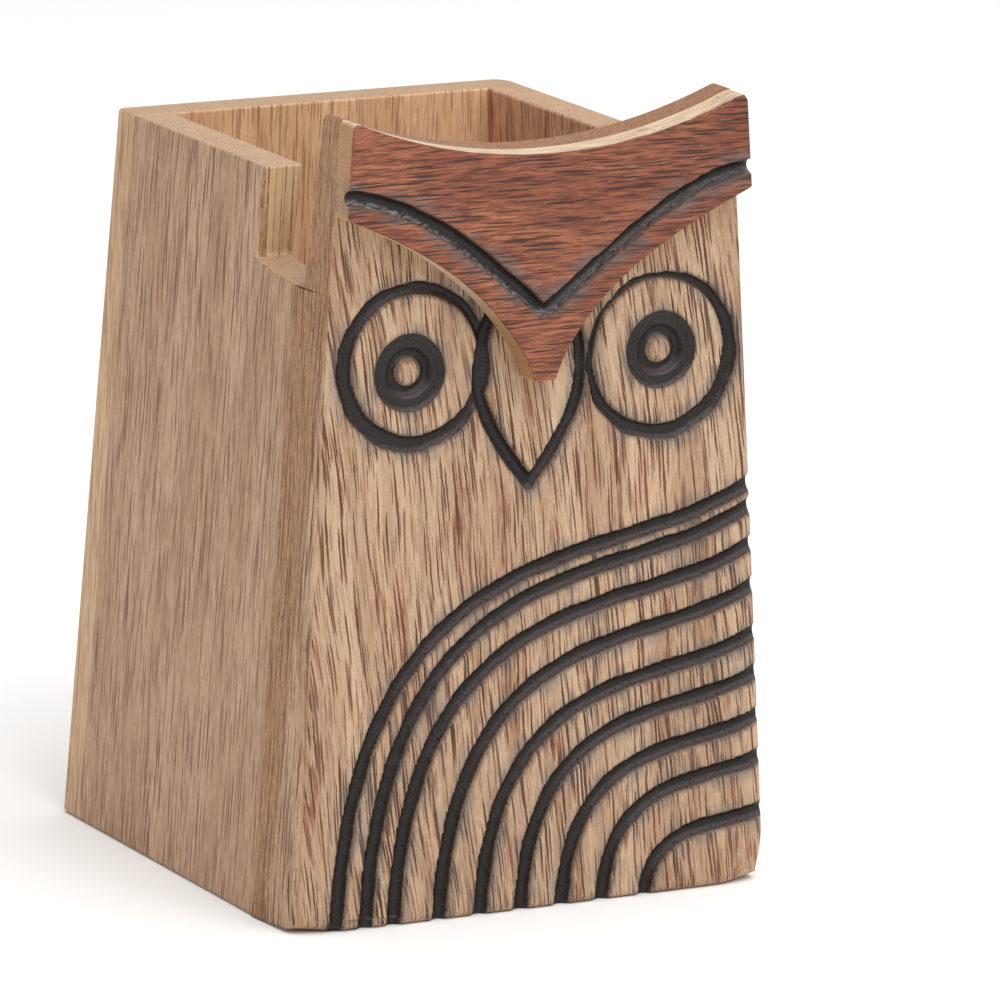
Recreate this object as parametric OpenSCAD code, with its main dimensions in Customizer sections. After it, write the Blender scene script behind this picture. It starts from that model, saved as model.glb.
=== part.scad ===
// Owl eyeglasses stand with a pen well, a glued box of wooden boards.
// The front faces -Y, the stand rests on z = 0 and the origin is the middle of its underside.

/* [Box] */
// Width over the side boards at the foot
foot_w = 82; // [70:1:100]
// Depth over the face board and the back board at the foot
foot_d = 82; // [74:1:100]
// Height of the side boards and the back board
wall_h = 113; // [105:1:140]
// How far each side board leans in over the wall height
side_lean = 7; // [0:0.5:9]
// How far the front leans back over the wall height
front_lean = 3; // [0:0.5:5]
// How far the back leans forward over the wall height
back_lean = 3.6; // [0:0.2:6]

/* [Boards] */
// Thickness of the two side boards
side_t = 6.3; // [4:0.1:9]
// Thickness of the back board
back_t = 6.5; // [4:0.1:9]
// Thickness of the floor board
floor_t = 6; // [4:0.5:10]
// Depth of the face board at the foot
face_t = 14; // [12:0.5:18]
// Thickness of the brow board
brow_t = 5; // [4:0.5:7]

/* [Temple slot] */
// Depth of the slot floor below the wall top
slot_drop = 16; // [12:1:22]
// Width of the slot, front to back
slot_w = 17; // [12:0.5:20]
// How far the slot cuts into the back of the face board at its floor
slot_bite = 3.2; // [1:0.1:5]
// Angle by which the slot leans forward
slot_tilt = 5.5; // [0:0.5:8]
// Radius of the inner corners of the slot floor
slot_r = 1.2; // [0.5:0.1:2]

/* [Face outline] */
// Height of the ear points above the wall top
ear_rise = 11.5; // [8:0.5:16]
// Sag of the hollow top between the ear points
crown_sag = 7; // [4:0.5:9]
// Radius of the two lower front corners of the face board
foot_r = 8; // [2:0.5:12]

/* [Eyes] */
// Distance of each eye from the middle
eye_x = 21; // [19:0.5:21.5]
// Depth of the eyes below the wall top
eye_drop = 28; // [25:0.5:31]
// Outer radius of the ring around the eye
ring_r = 13; // [11:0.5:13]
// Width of the ring groove at its sides
ring_w = 2; // [1.2:0.1:3]
// Rise of the ring's inner edge, which makes the lower stroke wider
ring_shift = 0.6; // [0:0.1:1]
// Radius of the burnt pupil
pupil_r = 6; // [5:0.5:8]
// Outer radius of the groove inside the pupil
iris_r = 4; // [3:0.25:4.5]
// Radius of the bare dot in the pupil
dot_r = 2.1; // [1:0.1:2.5]

/* [Carving] */
// Depth of the burnt grooves
groove_d = 1.4; // [0.8:0.1:2.2]
// Depth of the burnt pupil
pupil_d = 0.6; // [0.3:0.1:1]
// Width of the wing grooves
feather_w = 2.4; // [1.6:0.1:3]
// Width of the beak lines
beak_w = 2.1; // [1.4:0.1:3]
// Width of the brow grooves
brow_groove_w = 2.5; // [1.4:0.1:3]

/* [Brow and beak] */
// Sideways place of the beak and the nose tip
nose_x = -1; // [-2:0.5:2]
// Depth of the nose tip below the wall top
nose_drop = 30; // [27:0.5:33]
// Width of the flat nose tip
nose_w = 3.4; // [2:0.2:5]
// Depth of the brow's lower outer corners below the wall top
brow_drop = 3.2; // [1:0.2:7]
// Rise of the brow grooves' outer ends above the brow's lower outer corners
brow_groove_rise = 3.2; // [2.2:0.2:6]
// Depth of the beak's point below the nose tip
beak_drop = 16.7; // [13:0.1:19]

/* [Hidden] */

$fn = 64;
curve_steps = 20;
past = 6;
skin = 0.2;
corner_reach = 3.5;
corner_left = 0.35;

side_angle = atan(side_lean / wall_h);
front_angle = atan(front_lean / wall_h);
face_h = wall_h + ear_rise;
front_y = -foot_d / 2;
well_front_y = front_y + face_t;
well_back_y = foot_d / 2 - back_t;
slot_z = wall_h - slot_drop;
eye_z = wall_h - eye_drop;
nose_z = wall_h - nose_drop;
beak_z = nose_z - beak_drop;
brow_low = wall_h - brow_drop;
brow_groove_z = brow_low + brow_groove_rise;

// Burnt feather lines: where each leaves the foot, and the height at which it meets the right side
feather_foot = [-33.5, -28.5, -23.8, -16, -9, -2, 5, 12, 19.5];
feather_tip = [63, 59.5, 53.5, 47, 39.5, 33.3, 26.5, 20, 11.5];

// Handles of the face curves. Beak: out from its middle and up from its point. Brow: in from the
// sides and down from the outer end, then out from the middle and up from the nose tip.
beak_handles = [[9.4, 11.2], [10.6, 16.7], [6.4, 27]];
brow_outer_handle = [14, 6];
brow_inner_handle = [10, 15];
brow_end = [nose_w / 2 + 1.4, 3.4];
groove_outer_handle = [10, 0.8];
groove_inner_handle = [14, 22];
groove_end = [0.8, 11];

// Half of the outer width at a height, and the back board's two faces
function half_w(z) = foot_w / 2 - side_lean * z / wall_h;
function back_at(z) = foot_d / 2 - back_lean * z / wall_h;
function well_back_at(z) = well_back_y - back_lean * z / wall_h;

// A point on a cubic curve and the unit direction there
function bezier(p, t) =
    pow(1 - t, 3) * p[0] + 3 * t * pow(1 - t, 2) * p[1] + 3 * t * t * (1 - t) * p[2] + pow(t, 3) * p[3];
function slope(p, t) =
    pow(1 - t, 2) * (p[1] - p[0]) + 2 * t * (1 - t) * (p[2] - p[1]) + t * t * (p[3] - p[2]);
function heading(p, t) = slope(p, t) / norm(slope(p, t));

// The points of a cubic curve, run on straight by a length before its start and after its end
function run(p, before, after) = concat(
    before > 0 ? [[p[0] - before * heading(p, 0), heading(p, 0)]] : [],
    [for (i = [0 : curve_steps]) [bezier(p, i / curve_steps), heading(p, i / curve_steps)]],
    after > 0 ? [[p[3] + after * heading(p, 1), heading(p, 1)]] : []
);

// Curves of the carving as seen from the front, with s = 1 for the right and -1 for the left
function feather_curve(i) =
    let (foot = feather_foot[i], tip = feather_tip[i], edge = half_w(tip), span = edge - foot) [
        [foot, 0],
        [foot + 0.04 * span, 1.03 * tip],
        [edge - 0.3 * span, 0.8 * tip],
        [edge, tip]
    ];
function beak_curve(s) = concat(
    [[nose_x, beak_z]],
    [for (p = beak_handles) [nose_x + s * p[0], beak_z + p[1]]]
);
function from_side(s, z, step = [0, 0]) = [s * (half_w(z) - step[0]), z - step[1]];
function from_nose(s, step) = [nose_x + s * step[0], nose_z + step[1]];
function brow_groove_curve(s) = [
    from_side(s, brow_groove_z),
    from_side(s, brow_groove_z, groove_outer_handle),
    [s * groove_inner_handle[0], nose_z + groove_inner_handle[1]],
    from_nose(s, groove_end)
];
function brow_low_curve(s) = [
    from_side(s, brow_low),
    from_side(s, brow_low, brow_outer_handle),
    from_nose(s, brow_inner_handle),
    from_nose(s, brow_end)
];

// A front view outline laid on the leaning front, rise in front of the face
module on_front(rise) {
    translate([0, front_y, 0])
        rotate([90 - front_angle, 0, 0])
            translate([0, 0, rise])
                children();
}

// Cuts a front view outline to a depth below a surface that lies rise in front of the face
module carve(depth, rise = 0) {
    on_front(rise - depth)
        linear_extrude(depth + past)
            children();
}

// A side view outline that runs right across the box
module across() {
    translate([-foot_w, 0, 0])
        rotate([90, 0, 90])
            linear_extrude(2 * foot_w)
                children();
}

// What lies between the two leaning sides, up to a height
module between_sides(height, inset = 0) {
    translate([0, foot_d, 0])
        rotate([90, 0, 0])
            linear_extrude(2 * foot_d)
                polygon([
                    [inset - half_w(0), 0],
                    [half_w(0) - inset, 0],
                    [half_w(height) - inset, height],
                    [inset - half_w(height), height]
                ]);
}

// The hollow top that the face board and the brow board share
module crown_cut() {
    reach = half_w(face_h);
    radius = (reach * reach + crown_sag * crown_sag) / (2 * crown_sag);
    translate([0, foot_d, face_h - crown_sag + radius])
        rotate([90, 0, 0])
            cylinder(h = 2 * foot_d, r = radius, $fn = 200);
}

// The tilted slot for folded temples, through both side boards and into the face board's back
module slot_cut() {
    across()
        translate([well_front_y - slot_bite, slot_z])
            rotate(slot_tilt) {
                translate([0, slot_r])
                    square([slot_w, face_h]);
                translate([slot_r, 0])
                    square([slot_w - 2 * slot_r, 2 * slot_r]);
                for (y = [slot_r, slot_w - slot_r])
                    translate([y, slot_r])
                        circle(r = slot_r);
            }
}

// A stroke of even width along a cubic curve
module stroke(p, w, before = 0, after = 0) {
    course = run(p, before, after);
    last = len(course) - 1;
    function edge(i, side) = course[i][0] + side * w / 2 * [-course[i][1][1], course[i][1][0]];
    polygon(concat(
        [for (i = [0 : last]) edge(i, 1)],
        [for (i = [last : -1 : 0]) edge(i, -1)]
    ));
}

module feathers() {
    for (i = [0 : len(feather_foot) - 1])
        stroke(feather_curve(i), feather_w, past, past);
}

module beak() {
    for (s = [-1, 1])
        stroke(beak_curve(s), beak_w);
    translate([nose_x, beak_z])
        circle(d = beak_w, $fn = 24);
}

module eye_ring() {
    difference() {
        circle(r = ring_r);
        translate([0, ring_shift])
            circle(r = ring_r - ring_w);
    }
}

module rings(outer, inner) {
    for (s = [-1, 1])
        translate([s * eye_x, eye_z])
            difference() {
                circle(r = outer);
                circle(r = inner);
            }
}

module brow_outline() {
    steps = [for (i = [0 : curve_steps]) i / curve_steps];
    polygon(concat(
        [[half_w(face_h), face_h]],
        [for (t = steps) bezier(brow_low_curve(1), t)],
        [[nose_x + nose_w / 2, nose_z], [nose_x - nose_w / 2, nose_z]],
        [for (t = steps) bezier(brow_low_curve(-1), 1 - t)],
        [[-half_w(face_h), face_h]]
    ));
}

// Front view outline of the face board with its lower corners rounded to a radius
module face_outline(radius) {
    hull() {
        polygon([
            [radius - half_w(0), 0],
            [half_w(0) - radius, 0],
            [half_w(face_h), face_h],
            [-half_w(face_h), face_h]
        ]);
        if (radius > 0)
            for (s = [-1, 1])
                translate([s * (half_w(radius) - radius), radius])
                    circle(r = radius, $fn = 48);
    }
}

// The thick board before carving: square at its back, with the lower corners sanded away in front
module face_blank() {
    intersection() {
        hull() {
            translate([0, well_front_y, 0])
                rotate([90, 0, 0])
                    linear_extrude(skin)
                        face_outline(0);
            on_front(-corner_reach)
                linear_extrude(skin)
                    face_outline(corner_left * foot_r);
            on_front(-skin)
                linear_extrude(skin)
                    face_outline(foot_r);
        }
        translate([-foot_w, front_y, 0])
            cube([2 * foot_w, face_t, face_h]);
    }
}

module face_board() {
    color("tan")
        difference() {
            face_blank();
            crown_cut();
            slot_cut();
            carve(groove_d)
                feathers();
            carve(groove_d)
                difference() {
                    beak();
                    brow_outline();
                }
            for (s = [-1, 1])
                carve(groove_d)
                    translate([s * eye_x, eye_z])
                        eye_ring();
            carve(pupil_d)
                rings(pupil_r, (iris_r + dot_r) / 2);
            carve(groove_d)
                rings(iris_r, dot_r);
        }
}

module brow_board() {
    color("sienna")
        difference() {
            on_front(0)
                linear_extrude(brow_t)
                    brow_outline();
            crown_cut();
            carve(groove_d, brow_t)
                for (s = [-1, 1])
                    stroke(brow_groove_curve(s), brow_groove_w, past, 0);
        }
}

module side_board() {
    difference() {
        intersection() {
            translate([-foot_w / 2, -foot_d, 0])
                rotate([0, side_angle, 0])
                    translate([0, 0, -past])
                        cube([side_t, 2 * foot_d, wall_h + 3 * past]);
            across()
                polygon([
                    [well_front_y, 0],
                    [well_back_at(0), 0],
                    [well_back_at(wall_h), wall_h],
                    [well_front_y, wall_h]
                ]);
        }
        slot_cut();
    }
}

module left_wall() {
    color("burlywood")
        side_board();
}

module right_wall() {
    color("burlywood")
        mirror([1, 0, 0])
            side_board();
}

module back_board() {
    color("peru")
        intersection() {
            across()
                polygon([
                    [well_back_at(0), 0],
                    [back_at(0), 0],
                    [back_at(wall_h), wall_h],
                    [well_back_at(wall_h), wall_h]
                ]);
            between_sides(wall_h);
        }
}

module floor_board() {
    color("wheat")
        intersection() {
            across()
                polygon([
                    [well_front_y, 0],
                    [well_back_at(0), 0],
                    [well_back_at(floor_t), floor_t],
                    [well_front_y, floor_t]
                ]);
            between_sides(floor_t, side_t / cos(side_angle));
        }
}

face_board();
brow_board();
left_wall();
right_wall();
back_board();
floor_board();
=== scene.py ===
from math import atan, cos, pi, radians, sin

import bmesh
import bpy
import numpy as np
from mathutils import Matrix, Vector


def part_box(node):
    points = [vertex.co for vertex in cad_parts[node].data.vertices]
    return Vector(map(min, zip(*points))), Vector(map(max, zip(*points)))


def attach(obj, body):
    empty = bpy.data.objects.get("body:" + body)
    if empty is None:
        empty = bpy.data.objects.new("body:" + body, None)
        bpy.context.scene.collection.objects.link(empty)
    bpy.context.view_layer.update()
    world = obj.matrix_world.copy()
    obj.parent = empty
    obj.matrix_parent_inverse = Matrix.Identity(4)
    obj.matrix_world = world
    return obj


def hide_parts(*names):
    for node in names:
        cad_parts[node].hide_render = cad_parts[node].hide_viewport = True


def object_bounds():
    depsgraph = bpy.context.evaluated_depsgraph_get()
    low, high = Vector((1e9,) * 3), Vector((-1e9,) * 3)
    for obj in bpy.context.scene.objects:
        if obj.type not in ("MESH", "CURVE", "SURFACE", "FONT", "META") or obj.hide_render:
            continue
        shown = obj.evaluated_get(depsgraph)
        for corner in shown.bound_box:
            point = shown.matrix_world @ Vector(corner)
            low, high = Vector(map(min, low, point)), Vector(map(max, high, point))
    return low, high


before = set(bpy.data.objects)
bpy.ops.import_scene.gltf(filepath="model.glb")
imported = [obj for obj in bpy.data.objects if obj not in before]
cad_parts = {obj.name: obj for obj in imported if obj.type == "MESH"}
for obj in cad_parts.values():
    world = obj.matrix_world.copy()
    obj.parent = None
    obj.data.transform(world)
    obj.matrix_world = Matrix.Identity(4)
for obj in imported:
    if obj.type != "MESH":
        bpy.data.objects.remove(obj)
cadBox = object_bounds()
mm = 0.001

# the box of glued boards, read off the frame; the leans and board sizes are the design's own, in mm
faceLow, faceHigh = (Vector(c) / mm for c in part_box("face_board"))
wallLow, wallHigh = (Vector(c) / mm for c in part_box("left_wall"))
backHigh = Vector(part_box("back_board")[1]) / mm
floorHigh = Vector(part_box("floor_board")[1]) / mm
stand = {
    "footHalf": faceHigh.x,
    "frontFoot": faceLow.y,
    "wellFront": wallLow.y,
    "wallTop": wallHigh.z,
    "backFoot": backHigh.y,
    "backLean": 3.6,
    "sideLean": 7.0,
    "frontLean": 3.0,
    "sideThick": 6.3,
    "backThick": 6.5,
    "earTop": faceHigh.z,
    "crownSag": 7.0,
    "earEase": 1.3,
}
# the leaning side boards, measured level
sideThrough = stand["sideThick"] / cos(atan(stand["sideLean"] / stand["wallTop"]))


def halfWidth(z):
    return stand["footHalf"] - stand["sideLean"] * z / stand["wallTop"]


def frontAt(z):
    return stand["frontFoot"] + stand["frontLean"] * z / stand["wallTop"]


def backAt(z):
    return stand["backFoot"] - stand["backLean"] * z / stand["wallTop"]


def wellBackAt(z):
    return backAt(z) - stand["backThick"]


def crownAt(x):
    reach = halfWidth(stand["earTop"])
    radius = (reach ** 2 + stand["crownSag"] ** 2) / (2 * stand["crownSag"])
    bottom = stand["earTop"] - stand["crownSag"]
    return bottom + radius - np.sqrt(radius ** 2 - np.minimum(np.abs(x), reach) ** 2)


def smooth(low, high, value):
    t = np.clip((value - low) / (high - low), 0, 1)
    return t * t * (3 - 2 * t)


def hexColour(code, alpha=1.0):
    parts = [int(code[i:i + 2], 16) / 255 for i in (1, 3, 5)]
    return tuple(p / 12.92 if p <= 0.04045 else ((p + 0.055) / 1.055) ** 2.4 for p in parts) + (alpha,)


# materials

# settings that nearly every node of a kind shares here
usual = {
    "Math": {"operation": "MULTIPLY"},
    "MapRange": {"interpolation_type": "SMOOTHSTEP"},
    "Mix": {"data_type": "RGBA"},
}


def addNode(tree, kind, settings, output=None):
    # one node; another node's socket is linked, a hex colour is turned linear, the rest is set as it is.
    # numbered inputs: Math 0, 1; MapRange value 0, from 1 to 2, into 3 to 4; Mix share 0, of 6 and 7
    node = tree.nodes.new("ShaderNode" + kind)
    for key, value in {**usual.get(kind, {}), **settings}.items():
        if isinstance(key, str) and key not in node.inputs:
            setattr(node, key, value)
        elif isinstance(value, bpy.types.NodeSocket):
            tree.links.new(value, node.inputs[key])
        else:
            node.inputs[key].default_value = hexColour(value) if isinstance(value, str) else value
    if output is not None:
        return node.outputs[output]
    inUse = [socket for socket in node.outputs if socket.enabled]
    return inUse[0] if inUse else node


def grainNoise(tree, place, across, along, shift, detail=3.0, rough=0.55):
    # soft figure whose blots are this many mm across and along the grain
    drawnOut = addNode(tree, "Mapping", {
        "Vector": place, "Location": (shift, shift * 0.7, shift * 1.3),
        "Scale": (1 / across, 1 / across, 1 / along),
    })
    return addNode(tree, "TexNoise", {"Vector": drawnOut, "Scale": 1.0, "Detail": detail, "Roughness": rough})


def facingAmount(tree, direction, low, high, bothWays=False):
    # rises from nothing to 1 as the surface turns to face the direction
    normal = addNode(tree, "NewGeometry", {}, "Normal")
    amount = addNode(tree, "VectorMath", {"operation": "DOT_PRODUCT", 0: normal, 1: direction})
    if bothWays:
        amount = addNode(tree, "Math", {"operation": "ABSOLUTE", 0: amount})
    return addNode(tree, "MapRange", {0: amount, 1: low, 2: high})


def woodMaterial(name, look, finish=None):
    material = bpy.data.materials.new(name)
    material.use_nodes = True
    tree = material.node_tree
    tree.nodes.clear()
    place = addNode(tree, "TexCoord", {}, "Object")
    # millimetres, with the grain along Z and the pith of the tree on the Z axis
    upright = addNode(tree, "Mapping", {
        "Location": look["pith"], "Rotation": look["turn"], "Scale": (1 / mm, 1 / mm, 1 / mm),
        "Vector": place,
    })

    # slow wander of the grain, so that lines bend as a real board's do
    wander = grainNoise(tree, upright, 26, 70, look["seed"], 2.0).node.outputs["Color"]
    centred = addNode(tree, "VectorMath", {"operation": "SUBTRACT", 1: (0.5, 0.5, 0.5), 0: wander})
    push = addNode(tree, "VectorMath", {
        "operation": "MULTIPLY", 1: (look["wander"], look["wander"], 0.0), 0: centred,
    })
    grain = addNode(tree, "VectorMath", {"operation": "ADD", 0: upright, 1: push})

    # growth rings: a saw wave round the pith, pale early wood sliding into darker late wood
    rings = addNode(tree, "TexWave", {
        "wave_type": "RINGS", "rings_direction": "Z", "wave_profile": "SAW",
        "Scale": 0.314 / look["ringSpacing"], "Distortion": 1.2, "Detail": 3.0, "Detail Scale": 0.9,
        "Detail Roughness": 0.6,
        "Vector": addNode(tree, "Mapping", {"Vector": grain, "Scale": (1.0, 1.0, 1 / 2.2)}),
    }, "Fac")
    late = addNode(tree, "MapRange", {0: rings, 1: 0.35, 2: 1.0})

    fibre = grainNoise(tree, grain, look["fibre"], look["fibre"] * 42, look["seed"] + 3, 4.0, 0.62)
    broad = grainNoise(tree, grain, 7, 90, look["seed"] + 9, 3.0)
    streakCell = grainNoise(tree, grain, look["streak"], look["streak"] * 30, look["seed"] + 13, 5.0, 0.7)
    streak = addNode(tree, "Math", {
        0: addNode(tree, "MapRange", {0: streakCell, 1: 0.54, 2: 0.66}),
        1: addNode(tree, "MapRange", {0: broad, 1: 0.35, 2: 0.6}),
    })

    # along and across the board's surface, whichever way that surface faces
    crook = grainNoise(tree, upright, 0.5, 2.4, look["seed"] + 21, 2.0)
    apart = addNode(tree, "SeparateXYZ", {0: grain}).node.outputs
    onSide = facingAmount(tree, look["side"], 0.66, 0.74, True)
    across = addNode(tree, "Mix", {"data_type": "FLOAT", 0: onSide, 2: apart[0], 3: apart[1]})
    across = addNode(tree, "Math", {
        "operation": "ADD", 0: across, 1: addNode(tree, "Math", {0: crook, 1: 0.3}),
    })
    endGrain = facingAmount(tree, look["axis"], 0.6, 0.85, True)

    def dashes(gap, length, size, seed, scatter=(0.0, 0.45)):
        # thin slots along the grain, each with its own strength
        flat = addNode(tree, "CombineXYZ", {
            0: addNode(tree, "Math", {
                "operation": "ADD", 0: addNode(tree, "Math", {0: across, 1: 1 / gap}), 1: seed,
            }),
            1: addNode(tree, "Math", {0: apart[2], 1: 1 / length}),
        })
        cell = addNode(tree, "TexVoronoi", {
            "voronoi_dimensions": "2D", "Scale": 1.0, "Vector": flat,
        }).node.outputs
        own = addNode(tree, "SeparateColor", {0: cell["Color"]})
        near = addNode(tree, "MapRange", {0: cell["Distance"], 1: size, 2: size * 0.68})
        return addNode(tree, "Math", {
            0: near, 1: addNode(tree, "MapRange", {0: own, 1: scatter[0], 2: scatter[1]}),
        })

    zone = grainNoise(tree, grain, 2.6, 40, look["seed"] + 5, 3.0)
    crowd = addNode(tree, "Math", {
        "operation": "MAXIMUM", 0: addNode(tree, "MapRange", {0: zone, 1: 0.26, 2: 0.46}),
        1: addNode(tree, "Math", {0: late, 1: 0.8}),
    })
    gap, length = look["poreGap"], look["poreLength"]
    pore = addNode(tree, "Math", {0: dashes(gap, length, 0.27, look["seed"]), 1: crowd})
    longer = addNode(tree, "Math", {
        0: dashes(gap * 1.8, length * 2.2, 0.2, look["seed"] + 7),
        1: addNode(tree, "MapRange", {0: zone, 1: 0.34, 2: 0.5}),
    })
    pore = addNode(tree, "Math", {"operation": "MAXIMUM", 0: pore, 1: longer})
    fine = addNode(tree, "Math", {
        0: dashes(gap * 0.6, length * 0.5, 0.28, look["seed"] + 2, (0.2, 0.9)), 1: 0.75,
    })
    pore = addNode(tree, "Math", {"operation": "MAXIMUM", 0: pore, 1: fine})
    dots = addNode(tree, "TexVoronoi", {
        "Scale": 1.0,
        "Vector": addNode(tree, "Mapping", {"Vector": upright, "Scale": (1 / 0.62, 1 / 0.62, 1 / 4.0)}),
    })
    dots = addNode(tree, "MapRange", {0: dots, 1: 0.34, 2: 0.16})
    pore = addNode(tree, "Mix", {0: endGrain, 6: pore, 7: addNode(tree, "Math", {0: dots, 1: 0.7})})
    fleck = addNode(tree, "Math", {
        0: dashes(0.42, 1.9, 0.34, look["seed"] + 4, (0.3, 0.9)),
        1: addNode(tree, "MapRange", {0: endGrain, 1: 1, 2: 0}),
    })
    # red-brown clusters of crowded pores
    cluster = grainNoise(tree, grain, 2.2, 16, look["seed"] + 41, 4.0, 0.65)
    thread = dashes(gap * 0.55, length * 0.3, 0.4, look["seed"] + 6, (0.1, 0.6))
    cluster = addNode(tree, "Math", {
        0: addNode(tree, "MapRange", {0: cluster, 1: 0.52, 2: 0.66}),
        1: addNode(tree, "Math", {
            "operation": "ADD", 0: addNode(tree, "Math", {0: thread, 1: 0.65}), 1: 0.25,
        }),
    })

    colour = addNode(tree, "Mix", {
        0: addNode(tree, "MapRange", {0: fibre, 1: 0.32, 2: 0.68}), 6: look["pale"], 7: look["mid"],
    })
    colour = addNode(tree, "Mix", {
        0: addNode(tree, "MapRange", {0: broad, 1: 0.4, 2: 0.66, 4: look["broadAmount"]}), 6: colour,
        7: look["warm"],
    })
    colour = addNode(tree, "Mix", {
        0: addNode(tree, "Math", {0: late, 1: look["lateAmount"]}), 6: colour, 7: look["late"],
    })
    colour = addNode(tree, "Mix", {
        0: addNode(tree, "Math", {0: fleck, 1: look["fleckAmount"]}), 6: colour, 7: look["fleck"],
    })
    colour = addNode(tree, "Mix", {
        0: addNode(tree, "Math", {0: streak, 1: look["streakAmount"]}), 6: colour, 7: look["red"],
    })
    colour = addNode(tree, "Mix", {
        0: addNode(tree, "Math", {0: cluster, 1: look["clusterAmount"]}), 6: colour, 7: look["red"],
    })
    poreTone = grainNoise(tree, upright, 4, 12, look["seed"] + 27, 2.0)
    poreColour = addNode(tree, "Mix", {
        0: addNode(tree, "MapRange", {0: poreTone, 1: 0.36, 2: 0.54}), 6: look["red"], 7: look["dark"],
    })
    colour = addNode(tree, "Mix", {
        0: addNode(tree, "Math", {0: endGrain, 1: look["endAmount"]}), 6: colour, 7: look["end"],
    })
    colour = addNode(tree, "Mix", {
        0: addNode(tree, "Math", {0: pore, 1: look["poreAmount"]}), 6: colour, 7: poreColour,
    })
    speckle = grainNoise(tree, upright, 0.17, 0.5, look["seed"] + 33, 2.0, 0.7)
    colour = addNode(tree, "Mix", {
        0: addNode(tree, "MapRange", {0: speckle, 1: 0.3, 2: 0.7, 3: 0.0, 4: look["speckle"]}), 6: colour,
        7: look["dark"],
    })

    height = addNode(tree, "Math", {
        "operation": "SUBTRACT", 0: addNode(tree, "Math", {0: fibre, 1: 0.35}),
        1: addNode(tree, "Math", {0: pore, 1: 0.8}),
    })
    height = addNode(tree, "Math", {
        "operation": "SUBTRACT", 0: height, 1: addNode(tree, "Math", {0: streak, 1: 0.2}),
    })
    rough = addNode(tree, "MapRange", {
        0: fibre, 1: 0.3, 2: 0.7, 3: look["rough"] - 0.05, 4: look["rough"] + 0.07,
    })
    parts = {"tree": tree, "upright": upright, "fibre": fibre, "streak": streak, "pore": pore,
             "colour": colour, "height": height, "rough": rough}
    if finish:
        finish(parts)
    bump = addNode(tree, "Bump", {
        "Strength": look["bump"], "Distance": 0.00022, "Height": parts["height"],
    })
    shader = addNode(tree, "BsdfPrincipled", {
        "IOR": 1.47, "Specular IOR Level": 0.38, "Coat Weight": look["coat"], "Coat Roughness": 0.42,
        "Base Color": parts["colour"], "Roughness": parts["rough"], "Normal": bump,
    })
    addNode(tree, "OutputMaterial", {"Surface": shader})
    return material


def curvePoints(points, steps=30):
    t = np.linspace(0, 1, steps + 1)[:, None]
    p = np.array(points, float)
    return (1 - t) ** 3 * p[0] + 3 * t * (1 - t) ** 2 * p[1] + 3 * t * t * (1 - t) * p[2] + t ** 3 * p[3]


def distanceTo(line, x, z):
    best = np.full(x.shape, 1e6)
    for a, b in zip(line[:-1], line[1:]):
        step = b - a
        along = np.clip(((x - a[0]) * step[0] + (z - a[1]) * step[1]) / (step @ step), 0, 1)
        best = np.minimum(best, np.hypot(x - a[0] - along * step[0], z - a[1] - along * step[1]))
    return best


def waver(x, z, seed, size):
    # a steady hand's wobble, made of a few slow waves
    return size * (np.sin(0.61 * x + 0.43 * z + seed) * 0.5 + np.sin(-0.37 * x + 0.83 * z + 2.3 * seed) * 0.35
                   + np.sin(1.9 * x + 1.3 * z + 3.1 * seed) * 0.2)


def groove(depth, wall, distance):
    # round-bottomed cut; distance is below nothing in its burnt part, which starts a little inside the cut
    burnInset = 0.08
    return depth * np.sqrt(1 - (1 - np.clip((burnInset - distance) / wall, 0, 1)) ** 2)


def putBack(bm, places):
    for vert, place in zip(bm.verts, places):
        vert.co = place


def fillLayer(bm, name, values):
    layer = bm.verts.layers.float.get(name) or bm.verts.layers.float.new(name)
    for vert, value in zip(bm.verts, values):
        vert[layer] = value


def addPiece(name, bm, material, node, sharp=None, flat=False):
    bmesh.ops.recalc_face_normals(bm, faces=bm.faces[:])
    bmesh.ops.scale(bm, vec=(mm, mm, mm), verts=bm.verts[:])
    for face in bm.faces:
        face.smooth = not flat
    if sharp:
        for edge in bm.edges:
            edge.smooth = not sharp(edge)
    mesh = bpy.data.meshes.new(name)
    bm.to_mesh(mesh)
    bm.free()
    mesh.materials.append(material)
    piece = bpy.data.objects.new(name, mesh)
    bpy.context.collection.objects.link(piece)
    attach(piece, "root")
    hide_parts(node)
    print("made", name, "with", len(mesh.polygons), "faces")
    return piece


# the slot for folded temples: a tilted channel, its corner and its two directions in the side view
slotCut = {"wide": 17.0, "bite": 3.2, "tilt": 5.5, "drop": 16.0, "round": 1.2}
slotCorner = np.array([stand["wellFront"] - slotCut["bite"], stand["wallTop"] - slotCut["drop"]])
slotBack = np.array([cos(radians(slotCut["tilt"])), sin(radians(slotCut["tilt"]))])
slotUp = np.array([-slotBack[1], slotBack[0]])


def slotFloorAt(y):
    return slotCorner[1] + (y - slotCorner[0]) * slotBack[1] / slotBack[0]


def slotFrontAt(z):
    return slotCorner[0] + (z - slotCorner[1]) * slotUp[0] / slotUp[1]


# face board

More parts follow.
